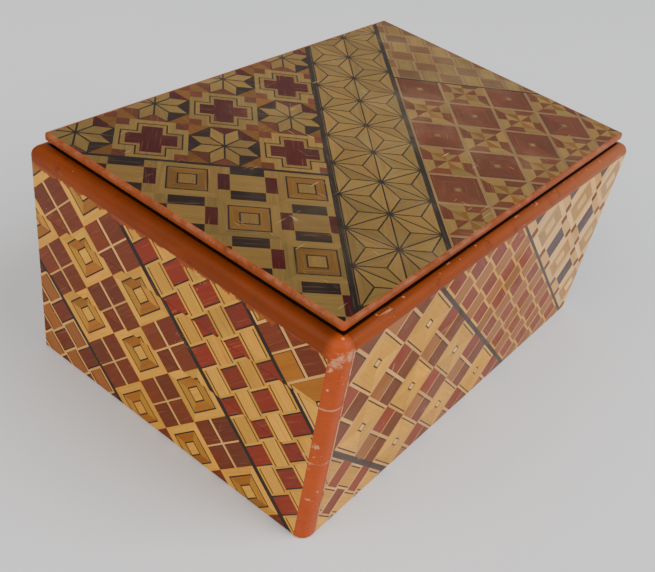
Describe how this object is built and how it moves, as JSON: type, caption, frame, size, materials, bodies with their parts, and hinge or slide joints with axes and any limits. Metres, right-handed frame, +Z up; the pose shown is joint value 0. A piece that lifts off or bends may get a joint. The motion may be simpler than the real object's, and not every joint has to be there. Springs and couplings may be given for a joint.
{
  "type": "wooden puzzle box",
  "caption": "Rectangular wooden puzzle box in geometric marquetry, with sideways-sliding end strips and a raised sliding lid over a plain compartment.",
  "frame": {"origin": "middle of the underside", "axes": "+X along the long sides, away from the end with the sliding strips; +Y across, from front to back; +Z up"},
  "size_m": [0.152, 0.104, 0.072],
  "materials": {
    "marquetry": "marquetry of pale, brown, red and near-black woods under semi-gloss lacquer",
    "stained_wood": "orange-brown stained wood, lacquered, worn at the edges",
    "pale_wood": "bare planed softwood",
    "bamboo": "bare split bamboo"
  },
  "bodies": {
    "case": {"front_wall": "stained_wood", "back_wall": "stained_wood", "front_veneer": "marquetry", "back_veneer": "marquetry", "far_end_board": "stained_wood", "far_end_veneer": "marquetry", "key_wall": "pale_wood", "base_board": "pale_wood", "front_wall_nails": "bamboo", "back_wall_nails": "bamboo", "lid_stop_pins": "bamboo"},
    "lid": {"lid_board": "stained_wood", "lid_veneer": "marquetry", "front_runner": "pale_wood", "back_runner": "pale_wood", "runner_nails": "bamboo", "lid_key": "pale_wood"},
    "upper_slider": {"lock_arm": "pale_wood", "lock_nose": "pale_wood", "upper_strip": "stained_wood", "upper_strip_veneer": "marquetry", "upper_cleat": "pale_wood", "upper_cleat_nails": "bamboo"},
    "middle_slider": {"middle_strip_pegs": "bamboo", "middle_strip": "stained_wood", "middle_strip_veneer": "marquetry", "middle_cleat": "pale_wood", "middle_cleat_nails": "bamboo"},
    "lower_slider": {"lower_strip": "stained_wood", "lower_strip_veneer": "marquetry", "lower_cleat": "pale_wood", "lower_cleat_nails": "bamboo"}
  },
  "joints": [
    {"name": "upper_slide", "type": "slide", "parent": "case", "child": "upper_slider", "axis": [0, -1, 0], "range_m": [0, 0.01]},
    {"name": "middle_slide", "type": "slide", "parent": "case", "child": "middle_slider", "axis": [0, 1, 0], "range_m": [0, 0.01]},
    {"name": "lower_slide", "type": "slide", "parent": "case", "child": "lower_slider", "axis": [0, -1, 0], "range_m": [0, 0.01]},
    {"name": "lid_slide", "type": "slide", "parent": "case", "child": "lid", "axis": [1, 0, 0], "range_m": [0, 0.118]}
  ]
}
